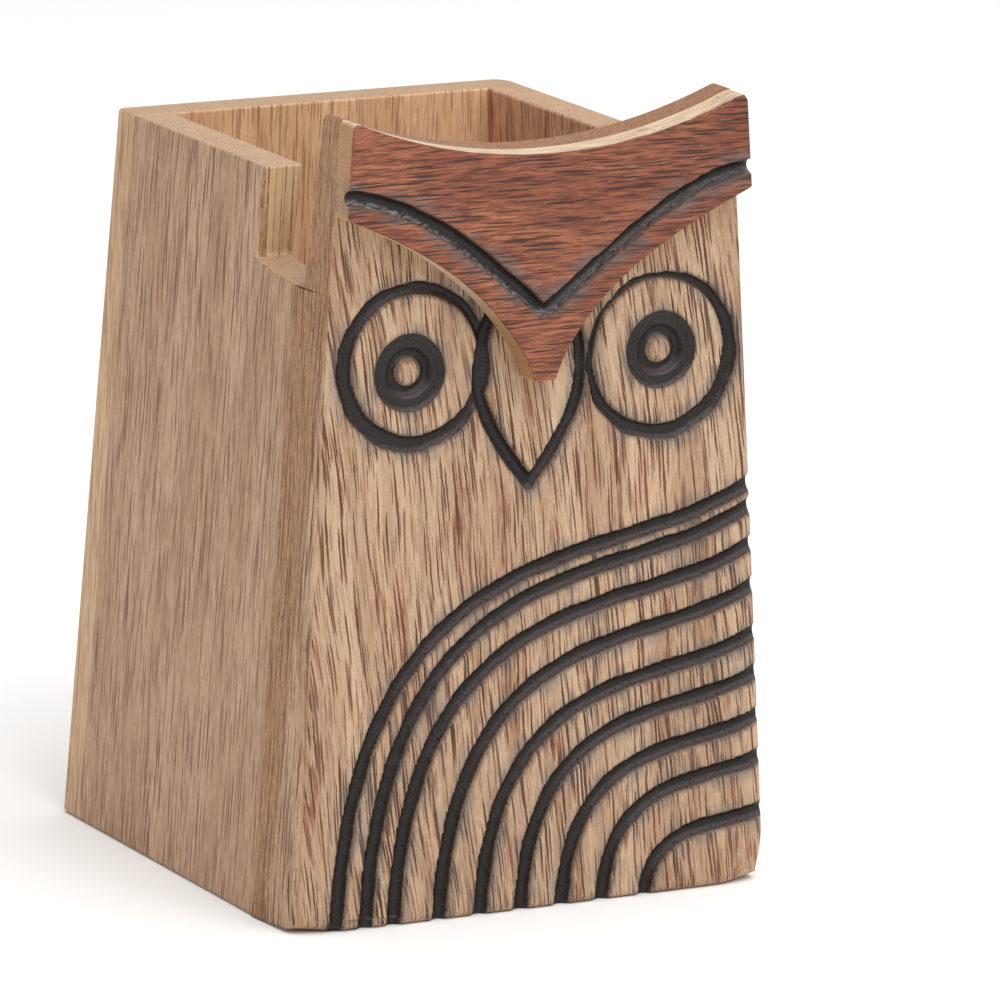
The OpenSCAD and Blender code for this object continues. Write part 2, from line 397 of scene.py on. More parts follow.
faceBoard = {
    "cell": 0.36,          # step of the carved front's mesh
    "hiddenCell": 1.1,     # step behind the brow board
    "fineTop": 100.0,
    "cornerRadius": 8.0,
    "cornerRows": 32,
    # radii of the eased front edges, which grow from beside the brow down to the foot
    "browEase": 0.2,
    "footEase": 2.0,
    "leftEase": 1.8,       # this much more on the left
    "bottomEase": 0.9,
    "easeTop": 106.0,
    "easeReach": 8.0,      # the easing fades out over this distance
    "tailBeyond": 0.35,    # the char ends this far behind the deepest cut
    # depths of the cuts, and how wide their curved walls are
    "grooveDepth": 1.5,
    "grooveWall": 1.3,
    "beakWall": 1.15,
    "eyeDepth": 1.2,
    "eyeWall": 1.1,
    "pupilDepth": 0.55,
    "lipHeight": 0.22,
    "featherWidth": 2.45,
    "featherFoot": [-33.5, -28.5, -23.8, -16, -9, -2, 5, 12, 19.5],
    "featherTip": [63, 59.5, 53.5, 47, 39.5, 33.3, 26.5, 20, 11.5],
    "beakWidth": 2.1,
    "beakFoot": (-1.0, 66.3),
    "beakCurve": [(0, 0), (9.4, 11.2), (10.6, 16.7), (6.4, 27)],
    "eyes": [            # outer circle, inner circle, pupil: x, z, radius
        ((21.6, 83.9, 13.0), (21.0, 84.7, 11.2), (21.4, 84.9, 6.0)),
        ((-20.7, 85.6, 13.0), (-20.4, 86.0, 10.7), (-21.4, 84.9, 6.0)),
    ],
    "irisRadius": 4.0,
    "dotRadius": 2.1,
}


def featherLine(foot, tip):
    edge = halfWidth(tip)
    span = edge - foot
    line = curvePoints([(foot, 0), (foot + 0.04 * span, 1.03 * tip),
                        (edge - 0.3 * span, 0.8 * tip), (edge, tip)])
    start = line[0] + (line[0] - line[1]) * 8
    finish = line[-1] + (line[-1] - line[-2]) * 8
    return np.vstack([start, line, finish])


def carveFace(x, z):
    # signed distance to the burnt edge, below nothing where burnt, and the cut depth
    look = faceBoard
    burn = np.full(x.shape, 9.0)
    depth = np.zeros(x.shape)
    for number, (foot, tip) in enumerate(zip(look["featherFoot"], look["featherTip"])):
        shakenX = x + waver(x, z, number, 0.07)
        shakenZ = z + waver(z, x, number + 5, 0.07)
        away = distanceTo(featherLine(foot, tip), shakenX, shakenZ)
        away = away - look["featherWidth"] / 2 - waver(z, x, number * 1.7, 0.1)
        burn = np.minimum(burn, away)
        depth = np.maximum(depth, groove(look["grooveDepth"], look["grooveWall"], away))
    for side in (-1, 1):
        line = curvePoints([(look["beakFoot"][0] + side * out, look["beakFoot"][1] + up)
                            for out, up in look["beakCurve"]])
        away = distanceTo(line, x, z) - look["beakWidth"] / 2 - waver(x, z, side, 0.12)
        burn = np.minimum(burn, away)
        depth = np.maximum(depth, groove(look["grooveDepth"], look["beakWall"], away))
    for number, (outer, inner, pupil) in enumerate(look["eyes"]):
        fromOuter = np.hypot(x - outer[0], z - outer[1]) - outer[2] - waver(x, z, 7 + number, 0.32)
        fromInner = inner[2] - np.hypot(x - inner[0], z - inner[1]) - waver(x, z, 9 + number, 0.12)
        away = np.maximum(fromOuter, fromInner)
        burn = np.minimum(burn, away)
        depth = np.maximum(depth, groove(look["eyeDepth"], look["eyeWall"], away))
        radius = np.hypot(x - pupil[0], z - pupil[1]) + waver(x, z, 3 + number, 0.1)
        burn = np.minimum(burn, np.maximum(radius - pupil[2], look["dotRadius"] + 0.05 - radius))
        bowl = look["pupilDepth"] * smooth(pupil[2], pupil[2] - 0.6, radius)
        ditch = look["grooveDepth"] * smooth(look["irisRadius"] + 0.1, look["irisRadius"] - 0.7, radius)
        lip = look["lipHeight"] * np.exp(-((radius - look["irisRadius"] - 0.25) / 0.3) ** 2)
        dot = smooth(look["dotRadius"] - 0.8, look["dotRadius"] + 0.5, radius)
        depth = np.maximum(depth, np.maximum(bowl - lip, ditch) * dot)
    return burn, depth


def easeEars(x, z, inset):
    # sanded ear points: the square corner is drawn in to a small round
    radius = stand["earEase"]
    fromSide = halfWidth(z) - inset - np.abs(x)
    fromTop = crownAt(x) - inset - z
    right = np.clip(radius - fromSide, 0, None)
    up = np.clip(radius - fromTop, 0, None)
    shrink = np.maximum(right, up) / np.maximum(np.hypot(right, up), 1e-6)
    both = (right > 0) & (up > 0)
    x = np.where(both, np.sign(x) * (np.abs(x) - right * (1 - shrink)), x)
    z = np.where(both, z - up * (1 - shrink), z)
    return x, z


def edgeRadius(row, corner, u):
    # corner runs from 0 under the board to 1 beside it
    look = faceBoard
    most = look["footEase"] + look["leftEase"] * smooth(-0.65, -1, u)
    side = look["browEase"] + most * np.clip(1 - row / look["easeTop"], 0, 1) ** 1.5
    share = smooth(-0.6, 1, corner)
    return side * share + look["bottomEase"] * (1 - share)


def faceOutline(u, row, inset, square):
    # place of a grid point in the front view; square runs from nothing in front to 1 at the back
    radius = faceBoard["cornerRadius"]
    middle = halfWidth(radius) - radius
    square = np.sqrt(1 - (1 - np.clip(square / 0.8, 0, 1)) ** 2)
    turn = np.arccos(np.clip(1 - row / radius, -1, 1))
    inner = radius - inset
    roundX = middle + inner * np.sin(turn)
    roundZ = radius - inner * np.cos(turn)
    steep = turn > pi / 4
    squareZ = np.where(steep, radius - inner / np.maximum(np.tan(turn), 1e-6), inset)
    flatX = middle + (halfWidth(0) - inset - middle) * np.tan(np.minimum(turn, pi / 4))
    squareX = np.where(steep, halfWidth(squareZ) - inset, flatX)
    low = row < radius
    wide = np.where(low, roundX + (squareX - roundX) * square, halfWidth(row) - inset)
    z = np.where(low, roundZ + (squareZ - roundZ) * square, row)
    x = u * wide
    rise = np.clip((row - faceBoard["fineTop"]) / (stand["earTop"] - faceBoard["fineTop"]), 0, None)
    top = crownAt(x) - inset - faceBoard["fineTop"]
    z = np.where(row > faceBoard["fineTop"], faceBoard["fineTop"] + rise * top, z)
    return easeEars(x, z, inset)


def makeFaceBoard():
    look = faceBoard
    radius = look["cornerRadius"]
    ledge = slotFloorAt(stand["wellFront"])
    rows = list(radius * (1 - np.cos(np.linspace(0, pi / 2, look["cornerRows"] + 1))))
    rows += list(np.arange(radius, ledge, (ledge - radius) / round((ledge - radius) / look["cell"])))[1:]
    rows = rows[:-1] if ledge - rows[-1] < 0.05 else rows
    ledgeRow = len(rows)
    rows += list(np.linspace(ledge, ledge + 1.2, 5))
    rows += list(np.linspace(ledge + 1.2, look["fineTop"], 5))[1:]
    hidden = round((stand["earTop"] - look["fineTop"]) / look["hiddenCell"])
    rows += list(np.linspace(look["fineTop"], stand["earTop"], hidden + 1))[1:]
    rows = np.array(rows)
    columns = round(2 * stand["footHalf"] / look["cell"])
    last = len(rows) - 1
    meanHalf = 38.0

    bm = bmesh.new()
    bmesh.ops.create_grid(bm, x_segments=columns, y_segments=last, size=1.0)
    flat = np.array([v.co[:] for v in bm.verts])
    number = np.rint((flat[:, 1] + 1) / 2 * last)
    fillLayer(bm, "across", flat[:, 0])
    fillLayer(bm, "row", number)

    def edgeOf(row, u):
        return edgeRadius(row, np.sin(np.arccos(np.clip(1 - row / radius, 0, 1))), u)

    def inFront(u, index):
        row = rows[index.astype(int)]
        fromSide = (1 - np.abs(u)) * meanHalf
        easing = edgeOf(row, u) * smooth(look["easeReach"], 0, fromSide)
        foot = edgeOf(0 * row, u) * smooth(look["easeReach"], 0, row)
        return faceOutline(u, row, np.where(row < radius, np.maximum(easing, foot), easing), 0)

    x, z = inFront(flat[:, 0], number)
    burn, depth = carveFace(x, z)
    putBack(bm, np.stack([x, frontAt(z) + depth, z], axis=1))
    fillLayer(bm, "burn", burn)
    fillLayer(bm, "tint", np.zeros(len(x)))
    print("carved the face")

    across = bm.verts.layers.float["across"]
    rowLayer = bm.verts.layers.float["row"]
    burnLayer = bm.verts.layers.float["burn"]
    tintLayer = bm.verts.layers.float["tint"]
    rim = [e for e in bm.edges if e.is_boundary]
    bevel = [(radians(a), 0.0) for a in (22.5, 45, 67.5, 90)] + [(radians(90), look["tailBeyond"])]
    for angle, beyond in bevel:
        grown = bmesh.ops.extrude_edge_only(bm, edges=rim)["geom"]
        ring = [g for g in grown if isinstance(g, bmesh.types.BMVert)]
        rim = [g for g in grown if isinstance(g, bmesh.types.BMEdge) and g.is_boundary]
        u = np.array([v[across] for v in ring])
        row = rows[np.array([int(v[rowLayer]) for v in ring])]
        ease = edgeOf(row, u)
        deep = ease * (1 - cos(angle))
        whole = stand["wellFront"] - stand["frontFoot"]
        x, z = faceOutline(u, row, ease * (1 - sin(angle)), (deep + beyond) / whole)
        burn, depth = carveFace(x, z)
        deep = np.maximum(deep, depth) + beyond
        if beyond:
            burn = np.maximum(burn, 0.5)
        for v, px, py, pz, pb in zip(ring, x, frontAt(z) + deep, z, burn):
            v.co = (px, py, pz)
            v[burnLayer] = pb
            v[tintLayer] = float(v[rowLayer] == last)
    grown = bmesh.ops.extrude_edge_only(bm, edges=rim)["geom"]
    ring = [g for g in grown if isinstance(g, bmesh.types.BMVert)]
    rim = [g for g in grown if isinstance(g, bmesh.types.BMEdge) and g.is_boundary]
    fillet = slotCorner + slotCut["round"] * (slotBack + slotUp)
    step = {0: (stand["wellFront"], ledge)}
    for k, angle in enumerate((0, 30, 60, 90)):
        place = fillet - slotCut["round"] * (cos(radians(angle)) * slotUp + sin(radians(angle)) * slotBack)
        step[k + 1] = tuple(place)
    corner = {}
    for v in ring:
        index = int(v[rowLayer])
        row = rows[index]
        x, z = (float(a) for a in faceOutline(np.array(v[across]), np.array(row), 0, 1))
        y = stand["wellFront"]
        if index - ledgeRow in step:
            y, z = step[index - ledgeRow]
            x = v[across] * halfWidth(z)
        elif index > ledgeRow:
            y = slotFrontAt(z)
        v.co = (x, y, z)
        v[burnLayer] = 9.0
        v[tintLayer] = float(index == last)
        if abs(abs(v[across]) - 1) < 1e-5:
            corner[(index, v[across] > 0)] = v
    cross = []
    for index in range(ledgeRow, ledgeRow + 5):
        made = bmesh.ops.contextual_create(bm, geom=[corner[(index, False)], corner[(index, True)]])
        cross.append(made["edges"][0])
    for index in range(ledgeRow, ledgeRow + 4):
        bmesh.ops.contextual_create(bm, geom=[corner[(index, False)], corner[(index, True)],
                                              corner[(index + 1, True)], corner[(index + 1, False)]])
    below = [e for e in rim if all(v[rowLayer] <= ledgeRow for v in e.verts)]
    above = [e for e in rim if all(v[rowLayer] >= ledgeRow + 4 for v in e.verts)]
    bmesh.ops.contextual_create(bm, geom=below + cross[:1])
    bmesh.ops.contextual_create(bm, geom=above + cross[4:])
    hard = set(rim) | {cross[0]}
    return addPiece("faceBoard", bm, faceWood, "face_board", sharp=lambda e: e in hard)


# brow board

browBoard = {
    "columns": 250,
    "rows": 92,
    "thick": 5.0,
    "ease": 0.32,
    "noseX": -1.0,
    "noseTip": 83.0,
    "noseHalf": 1.7,
    "outer": 109.8,
    "grooveOuter": 113.0,
    "grooveWidth": 2.35,
    "grooveDepth": 1.7,
    "grooveWall": 1.3,
}


def browLowLine(side):
    look = browBoard
    return curvePoints([
        (side * halfWidth(look["outer"]), look["outer"]),
        (side * (halfWidth(look["outer"]) - 14), look["outer"] - 6),
        (look["noseX"] + side * 10, look["noseTip"] + 15),
        (look["noseX"] + side * (look["noseHalf"] + 1.4), look["noseTip"] + 3.4),
    ], 60)


def browGrooveLine(side):
    look = browBoard
    line = curvePoints([
        (side * halfWidth(look["grooveOuter"]), look["grooveOuter"]),
        (side * (halfWidth(look["grooveOuter"]) - 10), look["grooveOuter"] - 0.8),
        (side * 14, look["noseTip"] + 22),
        (look["noseX"] + side * 0.8, look["noseTip"] + 11),
    ])
    return np.vstack([line[0] + (line[0] - line[1]) * 3, line])


def carveBrow(x, z):
    look = browBoard
    burn = np.full(x.shape, 9.0)
    depth = np.zeros(x.shape)
    for side in (-1, 1):
        away = distanceTo(browGrooveLine(side), x, z) - look["grooveWidth"] / 2 - waver(x, z, side + 4, 0.16)
        burn = np.minimum(burn, away)
        depth = np.maximum(depth, groove(look["grooveDepth"], look["grooveWall"], away))
    return burn, depth


def resample(line, count):
    run = np.concatenate([[0], np.cumsum(np.hypot(*np.diff(line, axis=0).T))])
    even = np.linspace(0, run[-1], count)
    return np.stack([np.interp(even, run, line[:, 0]), np.interp(even, run, line[:, 1])], axis=1)


def makeBrowBoard():
    look = browBoard
    ease = look["ease"]
    tip = np.array([(look["noseX"] - look["noseHalf"], look["noseTip"]),
                    (look["noseX"] + look["noseHalf"], look["noseTip"])])
    low = resample(np.vstack([browLowLine(-1), tip, browLowLine(1)[::-1]]), look["columns"] + 1)
    heading = np.gradient(low, axis=0)
    heading /= np.hypot(*heading.T)[:, None]
    low = low + ease * np.stack([-heading[:, 1], heading[:, 0]], axis=1)
    low[0] = (-halfWidth(look["outer"]) + ease, low[0][1])
    low[-1] = (halfWidth(look["outer"]) - ease, low[-1][1])
    reach = halfWidth(stand["earTop"]) - ease
    even = np.linspace(-1, 1, look["columns"] + 1)
    topX = reach * (0.6 * even + 0.4 * low[:, 0] / low[-1, 0])
    top = np.stack([topX, crownAt(topX) - ease], axis=1)

    bm = bmesh.new()
    bmesh.ops.create_grid(bm, x_segments=look["columns"], y_segments=look["rows"], size=1.0)
    flat = np.array([v.co[:] for v in bm.verts])
    column = np.rint((flat[:, 0] + 1) / 2 * look["columns"]).astype(int)
    up = ((flat[:, 1] + 1) / 2)[:, None]
    place = low[column] * (1 - up) + top[column] * up
    x, z = easeEars(place[:, 0], place[:, 1], ease)
    burn, depth = carveBrow(x, z)
    putBack(bm, np.stack([x, frontAt(z) - look["thick"] + depth, z], axis=1))
    fillLayer(bm, "burn", burn)
    fillLayer(bm, "stain", np.ones(len(x)))
    burnLayer = bm.verts.layers.float["burn"]
    stainLayer = bm.verts.layers.float["stain"]
    rim = [e for e in bm.edges if e.is_boundary]

    # outward direction at each rim point, from its two neighbours on the rim
    def outward(vert, edges):
        total = Vector((0, 0))
        for edge in (e for e in vert.link_edges if e in edges):
            a, b = edge.verts
            face = edge.link_faces[0]
            inside = face.calc_center_median() - (a.co + b.co) / 2
            side = Vector((-(b.co.z - a.co.z), b.co.x - a.co.x))
            if side.x * inside.x + side.y * inside.z > 0:
                side = -side
            total += side.normalized()
        half = max(total.length / 2, 0.7)
        return total.normalized() / half if total.length > 0 else total

    edges = set(rim)
    basis = {}
    for vert in {v for e in rim for v in e.verts}:
        basis[vert.index] = (vert.co.x, vert.co.z, outward(vert, edges))
    indexLayer = bm.verts.layers.float.new("start")
    for vert in {v for e in rim for v in e.verts}:
        vert[indexLayer] = vert.index
    rings = [(radians(a), 0.0, s) for a, s in ((30, 1.0), (60, 0.82), (90, 0.66))]
    rings += [(radians(90), 0.35, 0.5), (radians(90), 2.2, 0.0), (radians(90), look["thick"] - ease, 0.0)]
    for angle, beyond, stain in rings:
        grown = bmesh.ops.extrude_edge_only(bm, edges=rim)["geom"]
        ring = [g for g in grown if isinstance(g, bmesh.types.BMVert)]
        rim = [g for g in grown if isinstance(g, bmesh.types.BMEdge) and g.is_boundary]
        start = [basis[int(v[indexLayer])] for v in ring]
        out = ease * sin(angle)
        x = np.array([s[0] + s[2].x * out for s in start])
        z = np.array([s[1] + s[2].y * out for s in start])
        x = np.clip(x, -halfWidth(z), halfWidth(z))
        z = np.minimum(z, crownAt(x))
        burn, depth = carveBrow(x, z)
        deep = ease * (1 - cos(angle))
        if beyond < 1:
            deep = np.maximum(deep, depth) + beyond
        else:
            deep = deep + beyond + 0 * depth
        for v, px, py, pz, pb in zip(ring, x, frontAt(z) - look["thick"] + deep, z, burn):
            v.co = (px, py, pz)
            v[burnLayer] = pb if beyond == 0 else max(pb, 0.6)
            v[stainLayer] = stain
    bmesh.ops.contextual_create(bm, geom=rim)
    bm.verts.layers.float.remove(bm.verts.layers.float["start"])
    hard = set(rim)
    return addPiece("browBoard", bm, browWood, "brow_board", sharp=lambda e: e in hard)


# side walls, back and floor

boxBoards = {
    "topEase": 0.5,
    "slotEase": 0.4,
    "footEase": 0.8,
    "floorEase": 0.4,
    "backRightRound": 3.0,
    "backLeftRound": 1.3,
}


def easeEdges(bm, planes, chosen, width, segments):
    # rounds the chosen edges, told by the planes of the board that they lie in and by their two ends
    edges = []
    for edge in bm.edges:
        ends = [v.co for v in edge.verts]
        lying = {name for name, gap in planes.items() if all(abs(gap(c)) < 0.02 for c in ends)}
        if chosen(lying, *ends):
            edges.append(edge)
    bmesh.ops.bevel(bm, geom=edges, offset=width, offset_type="OFFSET", segments=segments, profile=0.5,
                    affect="EDGES", clamp_overlap=True, material=-1)


def prism(outline, placeNear, placeFar):
    bm = bmesh.new()
    near = [bm.verts.new(placeNear(a, b)) for a, b in outline]
    made = bmesh.ops.contextual_create(bm, geom=near)
    grown = bmesh.ops.extrude_face_region(bm, geom=made["faces"])["geom"]
    far = [g for g in grown if isinstance(g, bmesh.types.BMVert)]
    for vert in far:
        vert.co = placeFar(vert.co.y, vert.co.z)
    return bm


def makeSideWall(name, side, node, material):
    floorRear = slotCorner + slotCut["wide"] * slotBack
    topRear = floorRear + slotUp * (stand["wallTop"] - floorRear[1]) / slotUp[1]
    centre = slotCorner + (slotCut["wide"] - slotCut["round"]) * slotBack + slotCut["round"] * slotUp
    fillet = [tuple(centre + slotCut["round"] * (cos(radians(a)) * slotBack - sin(radians(a)) * slotUp))
              for a in (0, 22.5, 45, 67.5, 90)]
    front, top = stand["wellFront"], stand["wallTop"]
    outline = [(front, 0), (wellBackAt(0), 0), (wellBackAt(top), top), tuple(topRear)] + fillet
    outline += [(front, slotFloorAt(front))]
    bm = prism(outline,
               lambda y, z: (side * halfWidth(z), y, z),
               lambda y, z: (side * (halfWidth(z) - sideThrough), y, z))
    planes = {
        "top": lambda c: c.z - top,
        "foot": lambda c: c.z,
        "rear": lambda c: c.y - wellBackAt(c.z),
        "outer": lambda c: abs(c.x) - halfWidth(c.z),
        "inner": lambda c: abs(c.x) - halfWidth(c.z) + sideThrough,
    }

    def besideSlot(lying, a, b):
        low, high = sorted((a.z, b.z))
        return bool(lying & {"outer", "inner"}) and low > slotCorner[1] - 1 and high < top - 0.6

    easeEdges(bm, planes, lambda lying, a, b: "top" in lying and "rear" not in lying, boxBoards["topEase"], 4)
    easeEdges(bm, planes, besideSlot, boxBoards["slotEase"], 3)
    easeEdges(bm, planes, lambda lying, a, b: {"foot", "outer"} <= lying, boxBoards["footEase"], 4)
    return addPiece(name, bm, material, node, flat=True)


def makeBackBoard():
    top = stand["wallTop"]
    outline = [(wellBackAt(0), 0), (backAt(0), 0), (backAt(top), top), (wellBackAt(top), top)]
    bm = prism(outline, lambda y, z: (-halfWidth(z), y, z), lambda y, z: (halfWidth(z), y, z))
    planes = {
        "top": lambda c: c.z - top,
        "foot": lambda c: c.z,
        "well": lambda c: c.y - wellBackAt(c.z),
        "rear": lambda c: c.y - backAt(c.z),
        "right": lambda c: c.x - halfWidth(c.z),
        "left": lambda c: c.x + halfWidth(c.z),
    }
    easeEdges(bm, planes, lambda lying, a, b: {"rear", "right"} <= lying, boxBoards["backRightRound"], 8)
    easeEdges(bm, planes, lambda lying, a, b: {"rear", "left"} <= lying, boxBoards["backLeftRound"], 5)
    easeEdges(bm, planes, lambda lying, a, b: "top" in lying, boxBoards["topEase"], 4)
    easeEdges(bm, planes, lambda lying, a, b: "foot" in lying and "well" not in lying,
              boxBoards["footEase"], 4)
    return addPiece("backBoard", bm, backWood, "back_board", flat=True)


def makeFloorBoard():
    front, top = stand["wellFront"], floorHigh.z
    outline = [(front, 0), (wellBackAt(0), 0), (wellBackAt(top), top), (front, top)]
    bm = prism(outline,
               lambda y, z: (sideThrough - halfWidth(z), y, z),
               lambda y, z: (halfWidth(z) - sideThrough, y, z))
    planes = {"foot": lambda c: c.z}
    easeEdges(bm, planes, lambda lying, a, b: "foot" in lying, boxBoards["floorEase"], 3)
    return addPiece("floorBoard", bm, floorWood, "floor_board", flat=True)


# woods

def burnFinish(parts, ashAndSheenAmount=0.0):
    # pyrography: charred black-brown cuts with a ragged, singed edge and some soot on the grain
    tree, upright = parts["tree"], parts["upright"]
    edge = addNode(tree, "Attribute", {"attribute_name": "burn"}, "Fac")
    fray = grainNoise(tree, upright, 0.2, 1.6, 4.0, 3.0, 0.65)
    ragged = addNode(tree, "Math", {
        "operation": "ADD", 0: edge,
        1: addNode(tree, "Math", {
            0: addNode(tree, "Math", {"operation": "SUBTRACT", 0: fray, 1: 0.5}), 1: 0.42,
        }),
    })
    char = addNode(tree, "MapRange", {0: ragged, 1: 0.06, 2: -0.12})
    singe = addNode(tree, "MapRange", {0: ragged, 1: 0.62, 2: 0.0, 4: 0.5})
    patch = grainNoise(tree, upright, 3.2, 7.5, 17.0, 3.0, 0.6)
    soot = addNode(tree, "Math", {
        0: addNode(tree, "MapRange", {0: patch, 1: 0.42, 2: 0.6}),
        1: addNode(tree, "MapRange", {0: edge, 1: 2.6, 2: 0.1}),
    })
    # close to the cuts the open pores have drawn in soot and read black
    soaked = addNode(tree, "Math", {
        0: parts["pore"], 1: addNode(tree, "MapRange", {0: edge, 1: 2.4, 2: 0.4}),
    })
    colour = addNode(tree, "Mix", {
        0: addNode(tree, "Math", {0: soot, 1: 0.5}), 6: parts["colour"], 7: "#5c6262",
    })
    colour = addNode(tree, "Mix", {
        0: addNode(tree, "Math", {0: soaked, 1: 0.65}), 6: colour, 7: "#33261f",
    })
    colour = addNode(tree, "Mix", {0: singe, 6: colour, 7: "#5f4a3b"})
    grit = grainNoise(tree, upright, 0.26, 0.4, 30.0, 4.0, 0.7)
    charColour = addNode(tree, "Mix", {
        0: addNode(tree, "MapRange", {0: grit, 1: 0.4, 2: 0.68}), 6: "#17110e", 7: "#302825",
    })
    # painted sheen: the bank that looks up is painted a lighter grey-brown, as if catching the light from
    # above, with open pores as black dots
    upLitBank = facingAmount(tree, (0.0, 0.0, 1.0), 0.1, 0.75)
    charColour = addNode(tree, "Mix", {
        0: addNode(tree, "Math", {0: upLitBank, 1: 0.75}), 6: charColour, 7: "#544947",
    })
    holes = addNode(tree, "TexVoronoi", {
        "Scale": 1.0,
        "Vector": addNode(tree, "Mapping", {
            "Vector": upright, "Location": (5, 3.5, 6.5), "Scale": (1 / 0.62, 1 / 0.62, 1 / 0.8),
        }),
    })
    charColour = addNode(tree, "Mix", {
        0: addNode(tree, "MapRange", {0: holes, 1: 0.3, 2: 0.18}), 6: charColour, 7: "#0f0c0a",
    })
    # ash residue and painted sheen on the bank that looks up, whitest along the left brow line
    place = addNode(tree, "SeparateXYZ", {0: addNode(tree, "TexCoord", {}, "Object")})
    leftward = addNode(tree, "MapRange", {0: place, 1: 0.004, 2: -0.006, 3: 0.3, 4: 1.0})
    ashAndSheen = grainNoise(tree, upright, 0.45, 1.3, 51.0, 4.0, 0.7)
    ashAndSheen = addNode(tree, "Math", {
        0: addNode(tree, "Math", {0: addNode(tree, "MapRange", {0: ashAndSheen, 1: 0.44, 2: 0.6}), 1: upLitBank}),
        1: leftward,
    })
    charColour = addNode(tree, "Mix", {
        0: addNode(tree, "Math", {0: ashAndSheen, 1: ashAndSheenAmount}), 6: charColour, 7: "#a3a2a0",
    })
    parts["colour"] = addNode(tree, "Mix", {0: char, 6: colour, 7: charColour})
    parts["height"] = addNode(tree, "Math", {
        "operation": "ADD",
        0: addNode(tree, "Math", {
            0: parts["height"], 1: addNode(tree, "MapRange", {0: char, 1: 0, 2: 1, 3: 1.0, 4: 0.2}),
        }),
        1: addNode(tree, "Math", {0: addNode(tree, "Math", {0: grit, 1: char}), 1: 0.8}),
    })
    parts["rough"] = addNode(tree, "Math", {
        "operation": "ADD", 0: parts["rough"], 1: addNode(tree, "Math", {0: char, 1: -0.2}),
    })


def faceFinish(parts):
    # the hollow top of the face board took up some of the brow's stain
    tree, upright = parts["tree"], parts["upright"]
    tint = addNode(tree, "Attribute", {"attribute_name": "tint"}, "Fac")
    brown = addNode(tree, "Mix", {
        0: addNode(tree, "MapRange", {0: parts["fibre"], 1: 0.35, 2: 0.65}), 6: "#a67754", 7: "#764a30",
    })
    parts["colour"] = addNode(tree, "Mix", {
        0: addNode(tree, "MapRange", {0: tint, 1: 0.2, 2: 0.8, 3: 0.0, 4: 0.8}), 6: parts["colour"],
        7: brown,
    })
    # its long sides are sawn across the rays: browner, with short dark marks
    edgeOn = facingAmount(tree, (1.0, 0.0, 0.0), 0.5, 0.75, True)
    place = addNode(tree, "SeparateXYZ", {0: addNode(tree, "TexCoord", {}, "Object")}).node.outputs
    behind = addNode(tree, "Math", {
        "operation": "SUBTRACT", 0: addNode(tree, "Math", {0: place[1], 1: 1 / mm}),
        1: stand["frontFoot"],
    })
    behind = addNode(tree, "Math", {
        "operation": "ADD", 0: behind, 1: addNode(tree, "Math", {0: place[2], 1: 0.07 / mm}),
    })
    strip = grainNoise(tree, upright, 1.5, 6, 63.0, 3.0, 0.6)
    behind = addNode(tree, "Math", {
        "operation": "ADD", 0: behind, 1: addNode(tree, "Math", {0: strip, 1: 3.0}),
    })
    edgeOn = addNode(tree, "Math", {
        0: edgeOn, 1: addNode(tree, "MapRange", {0: behind, 1: 9.6, 2: 11.4}),
    })
    marks = grainNoise(tree, upright, 0.3, 1.7, 61.0, 3.0, 0.65)
    sawn = addNode(tree, "Mix", {
        0: addNode(tree, "MapRange", {0: parts["fibre"], 1: 0.35, 2: 0.65}), 6: "#b58960", 7: "#9d6f47",
    })
    sawn = addNode(tree, "Mix", {
        0: addNode(tree, "MapRange", {0: marks, 1: 0.5, 2: 0.6, 4: 0.7}), 6: sawn, 7: "#6f4b30",
    })
    sawn = addNode(tree, "Mix", {
        0: addNode(tree, "Math", {0: parts["pore"], 1: 0.85}), 6: sawn, 7: "#5a3521",
    })
    parts["colour"] = addNode(tree, "Mix", {
        0: addNode(tree, "Math", {0: edgeOn, 1: 0.85}), 6: parts["colour"], 7: sawn,
    })
    burnFinish(parts)


def wellPaintedLight(parts, inward):
    # painted light: the faces looking into the well are painted paler and warmer, standing in for the light
    # that reaches into it
    tree = parts["tree"]
    inside = facingAmount(tree, inward, 0.7, 0.9)
    paintedLit = addNode(tree, "VectorMath", {
        "operation": "MULTIPLY", 1: (1.36, 1.3, 1.26), 0: parts["colour"],
    })
    parts["colour"] = addNode(tree, "Mix", {0: inside, 6: parts["colour"], 7: paintedLit})


def wallEndAndWellPaintedLight(parts):
    # the sawn slot end shows pale sapwood between dark growth lines
    tree = parts["tree"]
    front = facingAmount(tree, (0.0, -1.0, 0.0), 0.6, 0.9)
    place = addNode(tree, "TexCoord", {}, "Object")
    place = addNode(tree, "Mapping", {"Scale": (2.2 / mm, 0.0, 0.015 / mm), "Vector": place})
    lines = addNode(tree, "TexNoise", {
        "Vector": place, "Scale": 1.0, "Detail": 1.0, "Roughness": 0.5, "Distortion": 0.3,
    })
    breaks = grainNoise(tree, parts["upright"], 0.5, 2.2, 44.0, 3.0, 0.6)
    lines = addNode(tree, "Math", {
        0: addNode(tree, "MapRange", {0: lines, 1: 0.52, 2: 0.64}),
        1: addNode(tree, "MapRange", {0: breaks, 1: 0.38, 2: 0.6, 3: 0.45, 4: 1.0}),
    })
    sawn = addNode(tree, "Mix", {
        0: lines, 6: addNode(tree, "Mix", {0: parts["fibre"], 6: "#e3c59b", 7: "#c8a176"}), 7: "#8a5a3b",
    })
    parts["colour"] = addNode(tree, "Mix", {
        0: addNode(tree, "Math", {0: front, 1: 0.85}), 6: parts["colour"], 7: sawn,
    })
    # painted light on the face looking into the well
    wellPaintedLight(parts, (1.0, 0.0, 0.0))


def rightWellPaintedLight(parts):
    # painted light on the face looking into the well
    wellPaintedLight(parts, (-1.0, 0.0, 0.0))


def backWellPaintedLight(parts):
    # painted light on the face looking into the well
    wellPaintedLight(parts, (0.0, -1.0, 0.0))


